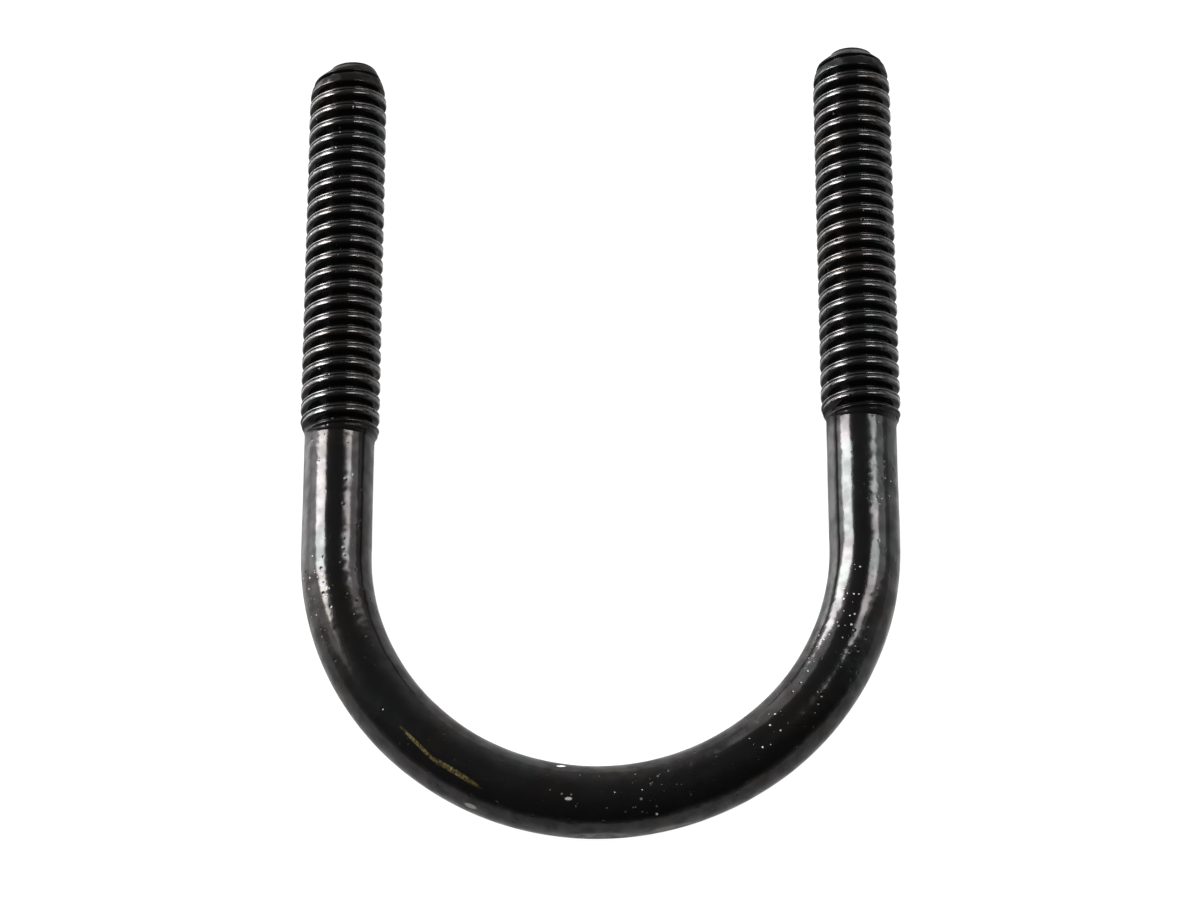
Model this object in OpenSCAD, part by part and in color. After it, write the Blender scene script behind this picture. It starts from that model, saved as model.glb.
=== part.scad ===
// U-bolt for a 1 in pipe: one round bar, bent to a half circle, with a rolled
// 1/4-20 UNC thread on each leg. All sizes are in millimetres.
//
// The U lies flat in the XY plane. The origin is the centre of the bend, where
// the axis of the clamped pipe passes, and the legs run along +Y.
// Each node is one stretch of the same bar, and they meet end to end.

/* [Bar] */
// Diameter of the plain bar
bar_d = 5.3; // [5.2:0.05:5.5]
// Clear width between the two legs
inner_w = 33.9; // [28:0.1:45]
// Length of the legs, from the end of the bend to the tips
leg_len = 40.7; // [36:0.1:60]
// How much longer the right leg is than the left one
leg_stagger = 0.6; // [0:0.1:2]

/* [Thread] */
// Major diameter of the thread
thread_d = 6.05; // [6.05:0.05:6.3]
// Axial distance from one turn to the next
pitch = 1.27; // [1.2:0.01:1.3]
// Length of each thread, from the tip to the end of its run-out
thread_len = 31.7; // [12:0.1:34]
// Width of the land on top of each turn
crest_w = 0.3; // [0.16:0.01:0.36]
// Width of the flat at the bottom of the groove
root_w = 0.3; // [0.15:0.01:0.36]
// Angle between the two flanks of the groove
flank_angle = 60; // [55:1:60]
// Where around the leg the groove opens into the tip
start_angle = 250; // [0:5:355]

/* [Ends] */
// Diameter of the flat on each tip
tip_d = 3.6; // [3:0.1:4.6]
// Length of the steep chamfer at each tip
chamfer_len = 1.2; // [0.8:0.1:1.6]
// Length over which the thread grows to its full diameter
lead_len = 3.6; // [2:0.1:5]
// Length over which the thread fades out towards the bend
runout_len = 1.4; // [1:0.1:2.5]

/* [Hidden] */
$fn = 96;

bar_r = bar_d / 2;
thread_r = thread_d / 2;
// Centre line of the bend, and half the distance between the legs
bend_r = (inner_w + bar_d) / 2;
left_leg = leg_len - leg_stagger / 2;
right_leg = leg_len + leg_stagger / 2;

// Straight sides of the groove leave this depth below the land
groove_depth = (pitch - crest_w - root_w) / 2 / tan(flank_angle / 2);
// The cutter stands this far out of the thread
cutter_proud = 0.12;
// Flat steps that make up each turn of the helix
turn_steps = 24;
// The cutter starts this far outside the tip
cutter_lead = 1.5 * pitch;
cutter_turns = floor((thread_len + cutter_lead) / pitch);
cutter_steps = cutter_turns * turn_steps;
// The groove closes over the last turn
closing_steps = turn_steps;
// Radius just behind the chamfer, and just before the step to the plain bar
lead_r = thread_r - 0.15;
runout_r = bar_r + 0.1;
bar_color = "#17171a";

// Turns the +Z axis of a leg to +Y and puts it beside the bend
module on_leg(side, from_y) {
    translate([side * bend_r, from_y, 0])
        rotate([-90, 0, 0])
            children();
}

// How deep the groove is at one step, from 0 to 1
function depth_share(step) = min(1, (cutter_steps - step) / closing_steps);

// The four corners of the cutter at one step, counted from the tip.
// tip_z is the height of the tip above the start of the thread.
function cutter_ring(step, tip_z) =
    let (
        angle = start_angle - 360 * (step / turn_steps - cutter_lead / pitch),
        z = tip_z + cutter_lead - pitch * step / turn_steps,
        outer_r = thread_r + cutter_proud,
        bottom_r = outer_r - (groove_depth + cutter_proud) * depth_share(step),
        root_half = root_w / 2,
        outer_half = root_half + (outer_r - bottom_r) * tan(flank_angle / 2),
        corners = [[outer_r, -outer_half], [bottom_r, -root_half],
                   [bottom_r, root_half], [outer_r, outer_half]]
    )
    [for (c = corners) [c[0] * cos(angle), c[0] * sin(angle), z + c[1]]];

// Helical cutter for the groove of a right-hand thread
module groove_cutter(tip_z) {
    last = cutter_steps - 1;
    points = [for (step = [0 : last]) each cutter_ring(step, tip_z)];
    sides = [
        for (step = [0 : last - 1], corner = [0 : 3])
            let (
                a = 4 * step + corner,
                b = 4 * step + (corner + 1) % 4
            )
            each [[a, b, b + 4], [a, b + 4, a + 4]]
    ];
    start_cap = [[0, 2, 1], [0, 3, 2]];
    end_cap = [for (face = start_cap) [for (i = [2, 1, 0]) face[i] + 4 * last]];
    polyhedron(points, concat(sides, start_cap, end_cap));
}

// One threaded end, standing on the plain bar
module threaded_end() {
    outline = [
        [0, 0],
        [bar_r, 0],
        [runout_r, 0.15],
        [thread_r, runout_len],
        [thread_r, thread_len - lead_len],
        [lead_r, thread_len - chamfer_len],
        [tip_d / 2, thread_len],
        [0, thread_len]
    ];
    difference() {
        rotate_extrude()
            polygon(outline);
        groove_cutter(thread_len);
    }
}

// Half circle of bar round the clamped pipe
module bend() {
    color(bar_color)
        rotate([0, 0, 180])
            rotate_extrude(angle = 180)
                translate([bend_r, 0])
                    circle(d = bar_d);
}

// Plain bar between the bend and the left thread
module left_shank() {
    color(bar_color)
        on_leg(-1, 0)
            cylinder(d = bar_d, h = left_leg - thread_len);
}

// Plain bar between the bend and the right thread
module right_shank() {
    color(bar_color)
        on_leg(1, 0)
            cylinder(d = bar_d, h = right_leg - thread_len);
}

// Rolled thread on the left leg
module left_thread() {
    color(bar_color)
        on_leg(-1, left_leg - thread_len)
            threaded_end();
}

// Rolled thread on the right leg
module right_thread() {
    color(bar_color)
        on_leg(1, right_leg - thread_len)
            threaded_end();
}

bend();
left_shank();
right_shank();
left_thread();
right_thread();
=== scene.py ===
"""Looks of a U-bolt for a 1 in pipe: one black-coated steel bar with a rolled thread on each leg.

Everything is in metres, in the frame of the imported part: the origin is the centre of the bend, the
legs run along +Y and +Z is up from the floor. Only the paint and its marks are worked out in mm.
Each visual piece stands for one CAD node.
"""

import math

import bmesh
import bpy
import numpy as np
from mathutils import Matrix, Quaternion, Vector, noise


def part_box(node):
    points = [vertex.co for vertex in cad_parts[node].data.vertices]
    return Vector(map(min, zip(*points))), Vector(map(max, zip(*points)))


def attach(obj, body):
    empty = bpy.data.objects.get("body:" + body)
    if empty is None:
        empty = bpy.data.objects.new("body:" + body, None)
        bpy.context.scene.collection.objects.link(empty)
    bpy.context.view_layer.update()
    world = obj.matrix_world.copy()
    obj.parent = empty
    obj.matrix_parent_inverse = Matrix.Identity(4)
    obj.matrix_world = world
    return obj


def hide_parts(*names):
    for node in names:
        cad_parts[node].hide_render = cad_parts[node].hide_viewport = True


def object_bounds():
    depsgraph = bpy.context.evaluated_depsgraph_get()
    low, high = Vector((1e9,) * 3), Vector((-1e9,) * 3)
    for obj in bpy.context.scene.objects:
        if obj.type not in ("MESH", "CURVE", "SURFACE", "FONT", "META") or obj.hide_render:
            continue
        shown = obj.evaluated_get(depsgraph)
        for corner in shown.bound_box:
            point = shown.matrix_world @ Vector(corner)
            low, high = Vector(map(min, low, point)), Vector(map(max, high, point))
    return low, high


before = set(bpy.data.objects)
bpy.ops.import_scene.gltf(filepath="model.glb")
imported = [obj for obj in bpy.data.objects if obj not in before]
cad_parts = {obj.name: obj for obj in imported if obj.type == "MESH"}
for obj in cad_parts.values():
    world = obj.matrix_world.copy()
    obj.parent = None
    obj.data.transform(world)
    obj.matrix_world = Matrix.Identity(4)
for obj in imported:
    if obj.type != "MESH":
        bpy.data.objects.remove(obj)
cad_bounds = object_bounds()

MM = 0.001

# ---------------------------------------------------------------- sizes taken from the frame
bend_low, bend_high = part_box("bend")
BAR_R = (bend_high.z - bend_low.z) / 2
BEND_R = (bend_high.x - bend_low.x) / 2 - BAR_R
THREAD_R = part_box("left_thread")[1].z
THREAD_START, THREAD_TIP = (corner.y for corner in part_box("left_thread"))
FLOOR_Z = cad_bounds[0][2]

# ---------------------------------------------------------------- thread form
PITCH = 1.27 * MM
# Angle between a flank and the axis
FLANK = math.radians(60)
# Rolling left two lips on each crest with a shallow seam between them. Each lip: how far it lies
# from the middle of the crest towards the tip, its rounding, and how far it stays below the top
LIPS = ((-0.12 * MM, 0.28 * MM, 0.0), (0.20 * MM, 0.11 * MM, 0.02 * MM))
SEAM_DEPTH = 0.10 * MM
SEAM_ROUND = 0.01 * MM
ROOT_R = THREAD_R - 0.62 * MM
ROOT_ROUND = 0.06 * MM
# At local angle 0 the middle of a crest lies this far below the tip
CREST_BELOW_TIP = 0.245 * MM
# The end of the bar was tapered before rolling: over this length, by this much at the tip, and more
# steeply towards the tip by this power. Crests are cut off there, with a corner rounded by the last
LEAD_LENGTH = 3.8 * MM
LEAD_DROP = 0.92 * MM
LEAD_POWER = 2.6
LEAD_ROUND = 0.06 * MM
# Rough chamfer of the left (-1) and right (1) tip: radius at the end, and how far it is off centre
TIP_R = {-1: 1.72 * MM, 1: 1.50 * MM}
CHAMFER_SHIFT = {-1: 0.42 * MM, 1: 0.05 * MM}
# Growth of the chamfer's radius per length
CHAMFER_SLOPE = 1.1
# Rounded rim and shallow dish of each tip
RIM_ROUND = 0.20 * MM
DISH_DEPTH = 0.05 * MM
# The last turn fades into the plain bar over this length, behind a small step
RUNOUT_LENGTH = 1.0 * MM
RUNOUT_STEP = 0.05 * MM
RUNOUT_STEP_WIDTH = 0.1 * MM
# The fade starts this far from the end of the thread, and later on the -X side, over this angle
RUNOUT_START = 0.25 * MM
RUNOUT_LATE = 0.6 * MM
RUNOUT_LATE_ANGLE = 0.8
# The seam is deeper on the last turns, where the crest is not filled
DEEP_SEAM = 0.10 * MM
DEEP_SEAM_WIDTH = 0.13 * MM
DEEP_SEAM_LENGTH = 2.2 * MM

# ---------------------------------------------------------------- tool marks on the bend
# Flats pressed into its outer side: the angle of the middle round the bend, and the depth
DIE_FLATS = ((90.0, 0.13 * MM), (77.0, 0.08 * MM))
# Each flat's plane is followed up to this angle from its middle, where it is far outside the bar
DIE_REACH = 1.2

# ---------------------------------------------------------------- waves and dents
# Waves in the drawn bar and dents in the rolled thread: size across, depth and random seed
BAR_WAVES = ((4.0 * MM, 0.018 * MM, 1), (1.2 * MM, 0.005 * MM, 2))
THREAD_DENTS = ((0.45 * MM, 0.006 * MM, 3), (2.5 * MM, 0.010 * MM, 4))

# ---------------------------------------------------------------- mesh resolution
COLUMNS = 96
BEND_RINGS = 420
SHANK_RING = 0.16 * MM
# Rows on each side of a lip's top, on each flank, round the rim of a tip and across its face
ARC_STEPS = 4
FLANK_STEPS = 5
RIM_STEPS = 4
FACE_STEPS = 6
# How close to a cut a vertex has to be to count as lying on it, during the cut and after it
CUT_SNAP = 1e-7
CUT_NEAR = 1e-6

# ---------------------------------------------------------------- marks in the paint, in mm
# Each mark: its centre, its reach to each side, and its turn from +X in degrees
RUBS = (
    ((-13.0, -15.9, 2.5), (2.4, 0.16, 1.2), -46),
    ((-10.4, -17.9, 2.4), (2.6, 0.22, 1.2), -33),
)
SCUFFS = (
    ((-9.34, -20.02, 0.87), (0.60, 0.16, 0.4), -22),
    ((-19.97, -3.72, 2.56), (0.10, 0.20, 0.5), 0),
    ((-18.30, 5.40, 2.35), (0.08, 0.17, 0.5), -10),
    ((-2.2, -20.1, 2.58), (0.32, 0.14, 0.5), 0),
)
DASH = ((-2.75, -17.36, 1.74), (0.42, 0.12, 0.5), 4)
CHIP = ((-20.35, -3.35, 2.45), (0.34, 0.28, 0.6), 0)
DUST_CLUSTERS = (
    ((-20.6, -3.6, 2.2), (1.2, 4.6, 2.0), 0),
    ((19.0, -5.2, 2.6), (1.7, 4.8, 1.8), -12),
    ((12.4, -15.4, 2.6), (3.0, 1.6, 1.5), 40),
    ((21.0, 3.8, 2.2), (1.3, 2.4, 1.5), 0),
)
FAINT_CLUSTER = ((1.6, -19.4, 2.6), (6.5, 2.2, 1.5), 0)
# Random spots: spacing, radius, the share of the places that have one, and how soft the edge is
CLUSTER_NIBS = (0.42, 0.08, 0.80, 0.6)
STRAY_NIBS = (1.0, 0.09, 0.14, 0.6)
PITS = (0.50, 0.13, 0.75, 1.0)
# Heights of the relief. The orange peel is between the first two high, uneven from place to place
PEEL_LOW = 0.010
PEEL_HIGH = 0.046
GRAIN_HEIGHT = 0.0012
PIT_DEPTH = 0.03
NIB_HEIGHT = 0.03
# Depths under the top of the thread between which a crest turns into groove
CREST_EDGE = (0.06, 0.14)
# Between these the bar turns into thread, counted from the thread's start
THREAD_EDGE = (-0.2, 1.5)
# Between these the thread turns into tip, counted from the tip
TIP_EDGE = (-0.9, -0.3)

# ---------------------------------------------------------------- gloss and colours of the paint
# How much of the pale colour the scuffs and the faint cluster show
SCUFF_STRENGTH = 0.45
FAINT_DUST_STRENGTH = 0.25
# Share of the gloss that is lost, and what the crests and their glints win back
PLAIN_DULLNESS = 0.41
CLOUDY_DULLNESS = 0.22
# Painted shade: the grooves lose this much more of the gloss, so they come out darker
GROOVE_SHADE = 0.28
PIT_DULLNESS = 0.95
CREST_GLOSS = 0.20
GLINT_GLOSS = 0.30
# Roughness of the paint, which rises by the second value from place to place, and of its marks
PAINT_ROUGHNESS = 0.10
PATCHY_ROUGHNESS = 0.10
RUB_ROUGHNESS = 0.42
PALE_ROUGHNESS = 0.5
# Share of pure black in the paint; the rest is its cast
BLACKNESS = 0.997
PURPLE_CAST = (1.0, 0.93, 0.95, 1)
BROWN_CAST = (1.0, 0.93, 0.88, 1)
GREEN_CAST = (0.95, 1.0, 0.97, 1)
OLIVE = (0.050, 0.040, 0.014, 1)
CHIP_BLUE = (0.010, 0.016, 0.032, 1)
PALE_DUST = (0.42, 0.42, 0.41, 1)


def smoothstep(x):
    """Rises smoothly from 0 to 1 as x does."""
    x = np.clip(x, 0.0, 1.0)
    return x * x * (3 - 2 * x)


def soft_min(a, b, width):
    """The smaller of the two, with a rounded corner this wide where they cross."""
    blend = np.clip(0.5 + (b - a) / (2 * width), 0, 1)
    return b + (a - b) * blend - width * blend * (1 - blend)


def ridge_drop(distance, rounding):
    """How far a ridge with a rounded top and flanks of the thread angle has dropped at a distance."""
    arc_end = rounding * math.sin(FLANK)
    on_arc = np.clip(distance, 0, arc_end)
    beyond = np.clip(distance - arc_end, 0, None)
    return rounding - np.sqrt(rounding**2 - on_arc**2) + beyond * math.tan(FLANK)


def turn_radius(d):
    """Radius of the fully formed thread at axial distance d from the middle of a crest."""
    drops = [low + ridge_drop(np.abs(d - place), rounding) for place, rounding, low in LIPS]
    drop = np.minimum(*drops)
    in_seam = (d > LIPS[0][0]) & (d < LIPS[1][0])
    drop = np.where(in_seam, soft_min(drop, SEAM_DEPTH, SEAM_ROUND), drop)
    return -soft_min(drop - THREAD_R, -ROOT_R, ROOT_ROUND)


def turn_offsets():
    """Axial offsets of the mesh rows in one turn from the middle of its crest, closer on the lips."""
    bends = [math.sin(FLANK * i / ARC_STEPS) for i in range(-ARC_STEPS, ARC_STEPS + 1)]
    lips = [place + rounding * bend for place, rounding, _ in LIPS for bend in bends]
    seam = (LIPS[0][0] + LIPS[1][0]) / 2
    low_flank = np.linspace(-PITCH / 2, min(lips), FLANK_STEPS + 1)[:-1]
    high_flank = np.linspace(max(lips), PITCH / 2, FLANK_STEPS + 1)[1:-1]
    return sorted([*low_flank, *lips, seam, *high_flank])


def waviness(points, size, seed):
    """Smooth noise between -1 and 1 at each point, with bumps about this size."""
    shift = Vector((seed * 17.3, seed * 5.1, seed * 9.7))
    values = [noise.noise(Vector(p) / size + shift) for p in points.reshape(-1, 3)]
    return np.array(values).reshape(points.shape[:-1])


def leg_points(side, angle, y, radius):
    """Points on a leg. The local angle turns from +X through -Z, so a right-hand thread climbs with it."""
    x = side * BEND_R + radius * np.cos(angle)
    z = -radius * np.sin(angle)
    return np.stack(np.broadcast_arrays(x, y, z), axis=-1)


def sunk(points, waves):
    """How far the real surface lies under the ideal one at each point."""
    return sum(depth * (1 + waviness(points, size, seed)) for size, depth, seed in waves)


def new_piece(name, bm, material, node):
    """Makes the mesh object, smooth but for its marked edges, and puts it in place of its CAD node."""
    bmesh.ops.recalc_face_normals(bm, faces=bm.faces)
    for face in bm.faces:
        face.smooth = True
    mesh = bpy.data.meshes.new(name)
    bm.to_mesh(mesh)
    bm.free()
    mesh.materials.append(material)
    piece = bpy.data.objects.new(name, mesh)
    bpy.context.scene.collection.objects.link(piece)
    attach(piece, "root")
    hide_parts(node)
    return piece


def cap_ring(bm, ring):
    """Closes a ring of vertices with a flat fan whose rim is a sharp edge."""
    middle = bm.verts.new(sum((v.co for v in ring), Vector()) / len(ring))
    for a, b in zip(ring, ring[1:] + ring[:1]):
        bm.faces.new((a, b, middle))
        bm.edges.get((a, b)).smooth = False


def grid_bmesh(points):
    """A tube from an array of rings, closed at both ends."""
    bm = bmesh.new()
    rings = [[bm.verts.new(p) for p in ring] for ring in points]
    for low, high in zip(rings, rings[1:]):
        for i in range(len(low)):
            j = (i + 1) % len(low)
            bm.faces.new((low[i], low[j], high[j], high[i]))
    cap_ring(bm, rings[0])
    cap_ring(bm, rings[-1])
    return bm


# ---------------------------------------------------------------- bend and shanks
def column_angles():
    """The angles of the mesh columns round the bar, as one row."""
    return (np.arange(COLUMNS) * 2 * math.pi / COLUMNS)[None, :]


def pressed_radius(radius, along):
    """Distance from the centre of the bend, cut back to each flat of the bending die."""
    for middle, depth in DIE_FLATS:
        turn = along - math.radians(middle)
        flat = (BEND_R + BAR_R - depth) / np.cos(np.clip(turn, -DIE_REACH, DIE_REACH))
        radius = np.minimum(radius, flat)
    return radius


def make_bend(material):
    """Half circle of bar, with the faint flats that the bending die left on its outer side."""
    along = np.linspace(0, math.pi, BEND_RINGS + 1)[:, None]
    around = column_angles()
    outward = np.stack([np.cos(along), -np.sin(along), 0 * along], axis=-1)
    up = np.array([0.0, 0.0, 1.0])
    normal = np.cos(around)[..., None] * outward - np.sin(around)[..., None] * up
    surface = BEND_R * outward + BAR_R * normal
    surface = surface - sunk(surface, BAR_WAVES)[..., None] * normal
    reach = np.linalg.norm(surface[..., :2], axis=-1)
    pressed = pressed_radius(reach, along) / reach
    bm = grid_bmesh(np.concatenate([surface[..., :2] * pressed[..., None], surface[..., 2:]], -1))
    return new_piece("bend_bar", bm, material, "bend")


def make_shank(name, side, material, node):
    """Plain straight bar between the bend and a thread."""
    y_low, y_high = (corner.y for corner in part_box(node))
    count = round((y_high - y_low) / SHANK_RING)
    y = np.linspace(y_low, y_high, count + 1)[:, None]
    around = column_angles()
    surface = leg_points(side, around, y, BAR_R)
    radius = BAR_R - sunk(surface, BAR_WAVES)
    bm = grid_bmesh(leg_points(side, around, y, radius))
    return new_piece(name, bm, material, node)


# ---------------------------------------------------------------- threaded ends
def thread_radius(side, angle, y, y_start, y_tip):
    """Radius of a threaded end, from the run-out by the shank to just under the tip."""
    turns = (y - y_tip + CREST_BELOW_TIP) / PITCH - angle / (2 * math.pi)
    d = (turns - np.round(turns)) * PITCH

    # Near the tip the crests are cut off wide, where the end of the bar was tapered before rolling
    t = np.clip((y_tip - y) / LEAD_LENGTH, 0, 1)
    top = THREAD_R - LEAD_DROP * (1 - t) ** LEAD_POWER
    radius = soft_min(turn_radius(d), top, LEAD_ROUND)
    chamfer = TIP_R[side] + CHAMFER_SLOPE * (y_tip - y) + CHAMFER_SHIFT[side] * np.cos(angle)
    radius = np.minimum(radius, chamfer) - sunk(leg_points(side, angle, y, THREAD_R), THREAD_DENTS)

    late = np.exp(-(((angle - math.pi) / RUNOUT_LATE_ANGLE) ** 2))
    above = y - (y_start + RUNOUT_START + RUNOUT_LATE * late)
    unfilled = 1 - smoothstep(above / DEEP_SEAM_LENGTH)
    radius = radius - DEEP_SEAM * np.exp(-((d / DEEP_SEAM_WIDTH) ** 2)) * unfilled
    fade = smoothstep(above / RUNOUT_LENGTH)
    step = RUNOUT_STEP * smoothstep(above / RUNOUT_STEP_WIDTH) * (1 - fade)
    below = BAR_R - sunk(leg_points(side, angle, y, BAR_R), BAR_WAVES)
    return below + (radius - below) * fade + step


def helix_bmesh(side, y_start, y_tip, y_cut):
    """The thread's skin: mesh rows that climb with the helix, cut square at both ends."""
    offsets = turn_offsets()
    crest_y = y_tip - CREST_BELOW_TIP
    first = math.floor((y_start - crest_y) / PITCH) - 2
    last = math.ceil((y_cut - crest_y) / PITCH) + 2
    rows = np.array([turn * PITCH + d for turn in range(first, last) for d in offsets])
    angle = column_angles()
    y = crest_y + rows[:, None] + PITCH * angle / (2 * math.pi)
    radius = thread_radius(side, angle, y, y_start, y_tip)
    points = leg_points(side, angle, y, radius)
    bm = bmesh.new()
    verts = [[bm.verts.new(p) for p in row] for row in points]
    per_turn = len(offsets)
    for j in range(len(rows) - 1):
        for i in range(COLUMNS - 1):
            bm.faces.new((verts[j][i], verts[j][i + 1], verts[j + 1][i + 1], verts[j + 1][i]))
        k = j + per_turn
        if k + 1 < len(rows):
            bm.faces.new((verts[j][-1], verts[k][0], verts[k + 1][0], verts[j + 1][-1]))
    for level, away in ((y_start, -1), (y_cut, 1)):
        geometry = bm.verts[:] + bm.edges[:] + bm.faces[:]
        bmesh.ops.bisect_plane(
            bm,
            geom=geometry,
            dist=CUT_SNAP,
            plane_co=(0, level, 0),
            plane_no=(0, away, 0),
            clear_outer=True,
        )
    return bm


def open_ring(bm, side, level):
    """The vertices of the open edge at this height, in order round the leg."""
    ends = {v for e in bm.edges if e.is_boundary for v in e.verts}
    ring = [v for v in ends if abs(v.co.y - level) < CUT_NEAR]
    return sorted(ring, key=lambda v: math.atan2(-v.co.z, v.co.x - side * BEND_R))


def close_tip(bm, side, ring, y_tip):
    """Rounds the rim of the tip and closes it with a shallow dished face."""
    axis = Vector((side * BEND_R, ring[0].co.y, 0))
    spokes = [v.co - axis for v in ring]
    levels = []
    for i in range(1, RIM_STEPS + 1):
        a = math.pi / 2 * i / RIM_STEPS
        levels.append((RIM_ROUND * (1 - math.cos(a)), RIM_ROUND * math.sin(a), 1.0))
    for i in range(1, FACE_STEPS):
        share = 1 - i / FACE_STEPS
        levels.append((RIM_ROUND, RIM_ROUND - DISH_DEPTH * (1 - share**2), share))
    previous = ring
    for inset, rise, share in levels:
        current = []
        for spoke in spokes:
            length = (spoke.length - inset) * share
            place = axis + spoke.normalized() * length
            place.y += rise
            current.append(bm.verts.new(place))
        for i in range(len(ring)):
            j = (i + 1) % len(ring)
            bm.faces.new((previous[i], previous[j], current[j], current[i]))
        previous = current
    middle = bm.verts.new(axis + Vector((0, RIM_ROUND - DISH_DEPTH, 0)))
    for a, b in zip(previous, previous[1:] + previous[:1]):
        bm.faces.new((a, b, middle))


def make_thread(name, side, material, node):
    """Rolled thread with a lead at the tip and a run-out beside the shank."""
    y_start, y_tip = (corner.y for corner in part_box(node))
    y_cut = y_tip - RIM_ROUND
    bm = helix_bmesh(side, y_start, y_tip, y_cut)
    cap_ring(bm, open_ring(bm, side, y_start))
    close_tip(bm, side, open_ring(bm, side, y_cut), y_tip)
    return new_piece(name, bm, material, node)


# ---------------------------------------------------------------- materials
def add(tree, kind, inputs=None, **settings):
    """Adds a shader node. Each input is a value, or an output to link to it."""
    made = tree.nodes.new("ShaderNode" + kind)
    for key, value in settings.items():
        setattr(made, key, value)
    for key, value in (inputs or {}).items():
        if isinstance(value, bpy.types.NodeSocket):
            tree.links.new(value, made.inputs[key])
        else:
            made.inputs[key].default_value = value
    return made


def maths(tree, operation, *values):
    return add(tree, "Math", dict(enumerate(values)), operation=operation).outputs[0]


def between(tree, value, low, high):
    """Rises smoothly from 0 to 1 as the value goes from low to high, which may be lower than low."""
    limits = {"Value": value, "From Min": low, "From Max": high}
    return add(tree, "MapRange", limits, interpolation_type="SMOOTHSTEP").outputs[0]


def mottle(tree, place, scale, detail=1.0):
    """Smooth noise round 0.5, with about this many bumps to the unit of place."""
    return add(tree, "TexNoise", {"Vector": place, "Scale": scale, "Detail": detail}).outputs[0]


def spots(tree, place, spacing, radius, share, softness):
    """Small round spots in some of the cells of this spacing, sizes in mm. Size and strength vary."""
    cells = add(tree, "TexVoronoi", {"Vector": place, "Scale": 1 / spacing})
    chosen = add(tree, "SeparateColor", {0: cells.outputs["Color"]})
    size = maths(tree, "MULTIPLY_ADD", chosen.outputs[1], radius / spacing, 0.4 * radius / spacing)
    inside = maths(tree, "SUBTRACT", size, cells.outputs["Distance"])
    shape = between(tree, inside, 0.0, softness * radius / spacing)
    strength = maths(tree, "MULTIPLY_ADD", chosen.outputs[2], 0.6, 0.4)
    picked = maths(tree, "MULTIPLY", strength, maths(tree, "LESS_THAN", chosen.outputs[0], share))
    return maths(tree, "MULTIPLY", shape, picked)


def patch(tree, place, centre, reach, turn=0.0):
    """A soft oval patch round a point in mm, its first reach turned from +X by this many degrees."""
    offset = add(tree, "VectorMath", {0: place, 1: centre}, operation="SUBTRACT").outputs[0]
    turned = add(tree, "VectorRotate", {"Vector": offset, "Angle": -math.radians(turn)})
    scaled = add(tree, "VectorMath", {0: turned.outputs[0], 1: reach}, operation="DIVIDE")
    distance = add(tree, "VectorMath", {0: scaled.outputs[0]}, operation="LENGTH").outputs["Value"]
    return between(tree, distance, 1.0, 0.55)


def most(tree, values):
    """The greatest of several values."""
    greatest = values[0]
    for value in values[1:]:
        greatest = maths(tree, "MAXIMUM", greatest, value)
    return greatest


def patches(tree, place, marks):
    """One mask for several patches, each given as the arguments of patch."""
    return most(tree, [patch(tree, place, *mark) for mark in marks])


def colour_mix(tree, factor, first, second):
    return add(tree, "Mix", {0: factor, 6: first, 7: second}, data_type="RGBA").outputs[2]


def grey(value):
    return (value, value, value, 1)


def dust_mask(tree, place):
    """Pale nibs in the paint: a few everywhere, and many in some clusters."""
    faint = maths(tree, "MULTIPLY", patch(tree, place, *FAINT_CLUSTER), FAINT_DUST_STRENGTH)
    clusters = maths(tree, "MAXIMUM", faint, patches(tree, place, DUST_CLUSTERS))
    clustered = maths(tree, "MULTIPLY", spots(tree, place, *CLUSTER_NIBS), clusters)
    return maths(tree, "MAXIMUM", clustered, spots(tree, place, *STRAY_NIBS))


def thread_masks(tree, place):
    """Two masks: the crests of the thread, and its grooves with the tips."""
    parts = add(tree, "SeparateXYZ", {0: place}).outputs
    beside = maths(tree, "SUBTRACT", maths(tree, "ABSOLUTE", parts[0]), BEND_R / MM)
    squares = maths(tree, "MULTIPLY_ADD", beside, beside, maths(tree, "MULTIPLY", parts[2], parts[2]))
    radius = maths(tree, "SQRT", squares)
    top = THREAD_R / MM
    start = THREAD_START / MM
    tip = THREAD_TIP / MM
    off_crest = between(tree, radius, *(top - depth for depth in CREST_EDGE))
    threaded = between(tree, parts[1], *(start + edge for edge in THREAD_EDGE))
    grooves = maths(tree, "MULTIPLY", off_crest, threaded)
    crests = maths(tree, "SUBTRACT", threaded, grooves)
    at_tip = between(tree, parts[1], *(tip + edge for edge in TIP_EDGE))
    return crests, maths(tree, "MAXIMUM", grooves, at_tip)


def paint_relief(tree, place, patchy, pits, dust):
    """Bump of the paint: uneven orange peel, fine grain, pits and nibs, with heights in mm."""
    uneven = between(tree, patchy, 0.35, 0.65)
    peel_height = maths(tree, "MULTIPLY_ADD", uneven, PEEL_HIGH - PEEL_LOW, PEEL_LOW)
    relief = maths(tree, "MULTIPLY", mottle(tree, place, 1.1), peel_height)
    relief = maths(tree, "MULTIPLY_ADD", mottle(tree, place, 6.0, 2.0), GRAIN_HEIGHT, relief)
    relief = maths(tree, "MULTIPLY_ADD", pits, -PIT_DEPTH, relief)
    relief = maths(tree, "MULTIPLY_ADD", dust, NIB_HEIGHT, relief)
    return add(tree, "Bump", {"Height": relief, "Strength": 1.0, "Distance": MM}).outputs[0]


def paint_sheen(tree, place):
    """Faint brown, purple and green casts, as on thin black paint."""
    cast = mottle(tree, place, 0.22)
    warm = colour_mix(tree, between(tree, cast, 0.50, 0.62), PURPLE_CAST, BROWN_CAST)
    return colour_mix(tree, between(tree, cast, 0.38, 0.50), GREEN_CAST, warm)


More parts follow.
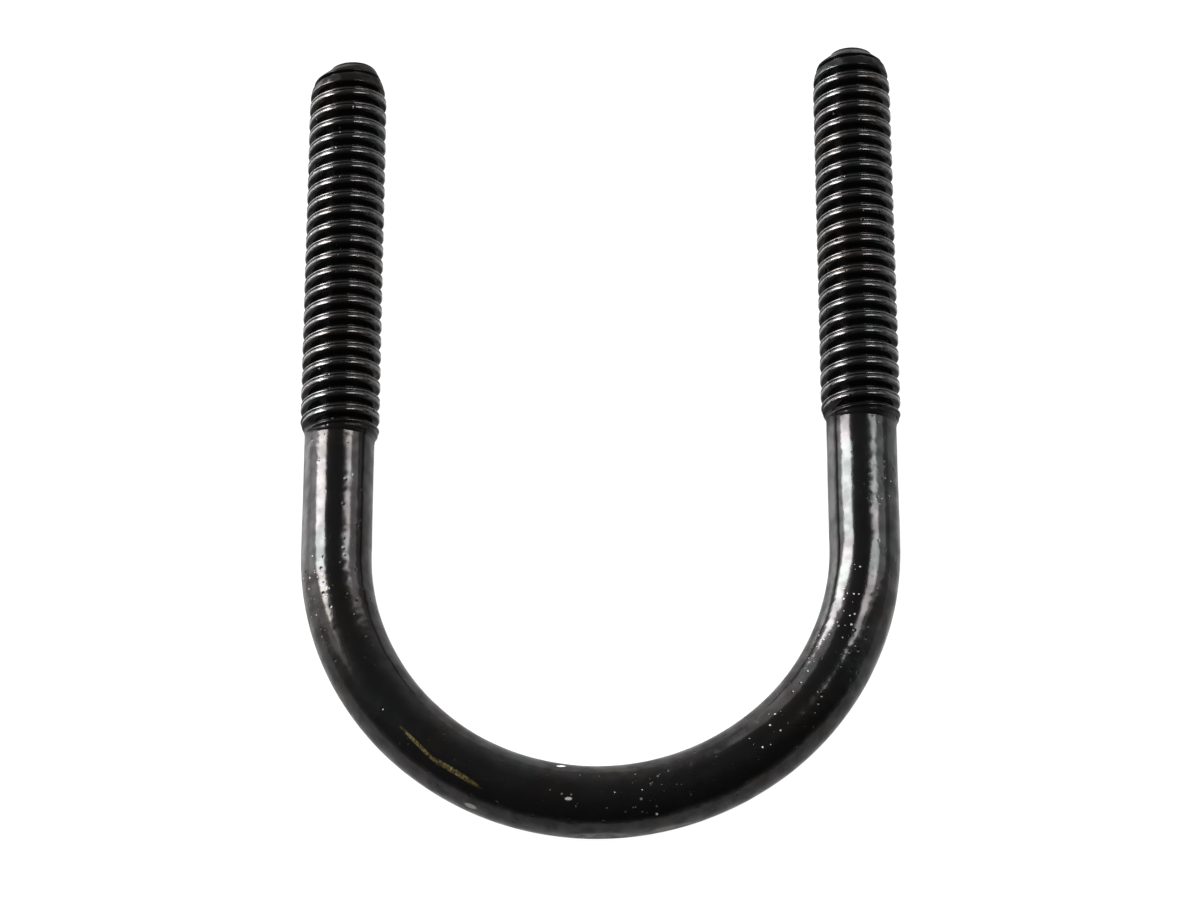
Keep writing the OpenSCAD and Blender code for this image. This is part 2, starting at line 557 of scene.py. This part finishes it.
def dullness_and_groove_shade(tree, place, streaks, pits):
    """Share of the gloss that is lost: cloudy, more in the grooves as painted shade and in the pits, less
    on the crests.
    """
    crests, grooves = thread_masks(tree, place)
    cloudy = between(tree, mottle(tree, place, 0.9, 3.0), 0.35, 0.68)
    dull = maths(tree, "MULTIPLY_ADD", cloudy, CLOUDY_DULLNESS, PLAIN_DULLNESS)
    # Painted shade in the grooves: they lose more gloss and come out darker; the tips share this loss
    dull = maths(tree, "MULTIPLY_ADD", grooves, GROOVE_SHADE, dull)
    glints = between(tree, streaks, 0.45, 0.62)
    crest_change = maths(tree, "MULTIPLY_ADD", glints, -GLINT_GLOSS, -CREST_GLOSS)
    dull = maths(tree, "MULTIPLY_ADD", crests, crest_change, dull)
    return maths(tree, "MAXIMUM", dull, maths(tree, "MULTIPLY", pits, PIT_DULLNESS))


def black_coating():
    """Glossy black dipped paint: orange peel, small pits, dust nibs, scuffs and faint casts."""
    material = bpy.data.materials.new("black_coating")
    material.use_nodes = True
    tree = material.node_tree
    tree.nodes.clear()
    object_place = add(tree, "TexCoord").outputs["Object"]
    place = add(tree, "VectorMath", {0: object_place, "Scale": 1 / MM}, operation="SCALE").outputs[0]
    patchy = mottle(tree, place, 0.30)
    streaks = mottle(tree, place, 5.0, 3.0)

    # Masks of the marks
    pitted = between(tree, patchy, 0.40, 0.52)
    pits = maths(tree, "MULTIPLY", spots(tree, place, *PITS), pitted)
    dust = dust_mask(tree, place)
    worn = between(tree, streaks, 0.25, 0.65)
    rub = maths(tree, "MULTIPLY", patches(tree, place, RUBS), worn)
    chip = patch(tree, place, *CHIP)
    scuffs = maths(tree, "MULTIPLY", patches(tree, place, SCUFFS), SCUFF_STRENGTH)
    pale = most(tree, [dust, scuffs, patch(tree, place, *DASH)])

    # What the masks do to the paint
    sheen = paint_sheen(tree, place)
    colour = colour_mix(tree, BLACKNESS, sheen, grey(0.0))
    colour = colour_mix(tree, rub, colour, OLIVE)
    colour = colour_mix(tree, chip, colour, CHIP_BLUE)
    colour = colour_mix(tree, pale, colour, PALE_DUST)
    painted = maths(tree, "MULTIPLY_ADD", patchy, PATCHY_ROUGHNESS, PAINT_ROUGHNESS)
    rubbed = maths(tree, "MULTIPLY", rub, RUB_ROUGHNESS)
    dusty = maths(tree, "MULTIPLY", pale, PALE_ROUGHNESS)
    bump = paint_relief(tree, place, patchy, pits, dust)
    paint = add(
        tree,
        "BsdfPrincipled",
        {
            "Base Color": colour,
            "Roughness": most(tree, [painted, rubbed, dusty]),
            "IOR": 1.5,
            "Specular Tint": sheen,
            "Normal": bump,
        },
    )
    # The thin, slightly sooty paint gives back only part of a full gloss; the larger matte share in the
    # grooves is painted shade
    matte_and_groove_shade = add(tree, "BsdfDiffuse", {"Color": colour, "Normal": bump})
    dull = dullness_and_groove_shade(tree, place, streaks, pits)
    blend = add(tree, "MixShader", {0: dull, 1: paint.outputs[0], 2: matte_and_groove_shade.outputs[0]})
    add(tree, "OutputMaterial", {"Surface": blend.outputs[0]})
    return material


def pale_floor_material():
    """Glossy white light table with a barely visible grain."""
    material = bpy.data.materials.new("pale_floor")
    material.use_nodes = True
    tree = material.node_tree
    tree.nodes.clear()
    place = add(tree, "TexCoord").outputs["Object"]
    tone = colour_mix(tree, mottle(tree, place, 900.0, 2.0), grey(0.985), grey(1.0))
    shader = add(
        tree,
        "BsdfPrincipled",
        {
            "Base Color": grey(0.08),
            "Roughness": 0.28,
            "Emission Color": tone,
            "Emission Strength": 1.0,
        },
    )
    add(tree, "OutputMaterial", {"Surface": shader.outputs[0]})
    return material


# ---------------------------------------------------------------- floor, light and camera
# The lights face this point, near the middle of the part
LIT_POINT = Vector((0, 0.01, 0))


def make_floor():
    half = 3.0
    corners = [(-half, -half, 0), (half, -half, 0), (half, half, 0), (-half, half, 0)]
    mesh = bpy.data.meshes.new("floor")
    mesh.from_pydata(corners, [], [(0, 1, 2, 3)])
    mesh.materials.append(pale_floor_material())
    floor = bpy.data.objects.new("floor", mesh)
    floor.location.z = FLOOR_Z
    bpy.context.scene.collection.objects.link(floor)


def direction(azimuth, elevation):
    """Unit vector at these angles in degrees: azimuth from +X towards +Y, elevation from the floor."""
    a = math.radians(azimuth)
    e = math.radians(elevation)
    return Vector((math.cos(a) * math.cos(e), math.sin(a) * math.cos(e), math.sin(e)))


def softbox(name, azimuth, elevation, distance, size, radiance, lean=0.0):
    """A rectangular area light that faces the part. Its brightness is set, not its power."""
    width, height = size
    light = bpy.data.lights.new(name, "AREA")
    light.shape = "RECTANGLE"
    light.size = width
    light.size_y = height
    light.energy = radiance * math.pi * width * height
    towards = direction(azimuth, elevation)
    facing = towards.to_track_quat("Z", "Y") @ Quaternion((0, 0, 1), math.radians(lean))
    lamp = bpy.data.objects.new(name, light)
    lamp.location = LIT_POINT + towards * distance
    lamp.rotation_euler = facing.to_euler()
    bpy.context.scene.collection.objects.link(lamp)


def light_studio():
    """A softbox on the left and a higher one on the right, each in a dimmer halo, in a pale room."""
    softbox("left_softbox", 150, 28, distance=0.6, size=(0.22, 0.46), radiance=36.0, lean=-26)
    softbox("left_halo", 146, 20, distance=0.9, size=(1.10, 0.90), radiance=2.4)
    softbox("left_glow", 154, 6, distance=0.6, size=(0.30, 0.24), radiance=2.5)
    softbox("right_softbox", 27, 53, distance=0.6, size=(0.15, 0.27), radiance=18.0)
    softbox("right_halo", 27, 34, distance=0.9, size=(0.42, 0.55), radiance=3.0)
    world = bpy.data.worlds.new("studio")
    world.use_nodes = True
    tree = world.node_tree
    tree.nodes.clear()
    towards = add(tree, "SeparateXYZ", {0: add(tree, "TexCoord").outputs["Generated"]})
    height = towards.outputs[2]
    # The room is pale behind the part, dark above it and darker on the camera's side
    behind = colour_mix(tree, between(tree, height, 0.15, 0.95), grey(0.84), grey(0.10))
    before = colour_mix(tree, between(tree, height, -0.05, 0.3), grey(0.50), grey(0.06))
    room = colour_mix(tree, between(tree, towards.outputs[1], -0.35, 0.05), before, behind)
    glow = add(tree, "Background", {"Color": room, "Strength": 1.0})
    add(tree, "OutputWorld", {"Surface": glow.outputs[0]})
    bpy.context.scene.world = world


def make_camera():
    """The photograph's point of view: from above and in front, slightly to the right."""
    azimuth = math.radians(4.96)
    elevation = math.radians(67.0)
    roll = math.radians(-5.47)
    distance = 294.6 * MM
    target = Vector((0.01, 8.03, 0)) * MM
    back = Vector(
        (
            math.sin(azimuth) * math.cos(elevation),
            -math.cos(azimuth) * math.cos(elevation),
            math.sin(elevation),
        )
    )
    level = Vector((math.cos(azimuth), math.sin(azimuth), 0))
    upright = back.cross(level)
    right = math.cos(roll) * level + math.sin(roll) * upright
    up = -math.sin(roll) * level + math.cos(roll) * upright
    lens = bpy.data.cameras.new("camera")
    lens.sensor_width = 36.0
    lens.lens = 117.93
    lens.clip_start = 0.01
    lens.clip_end = 20
    camera = bpy.data.objects.new("camera", lens)
    turn = Matrix((right, up, back)).transposed().to_4x4()
    camera.matrix_world = Matrix.Translation(target + back * distance) @ turn
    bpy.context.scene.collection.objects.link(camera)
    bpy.context.scene.camera = camera


coating = black_coating()
make_bend(coating)
make_shank("left_shank_bar", -1, coating, "left_shank")
make_shank("right_shank_bar", 1, coating, "right_shank")
make_thread("left_thread_bar", -1, coating, "left_thread")
make_thread("right_thread_bar", 1, coating, "right_thread")
make_floor()
light_studio()
make_camera()
bpy.context.scene.view_settings.view_transform = "Standard"
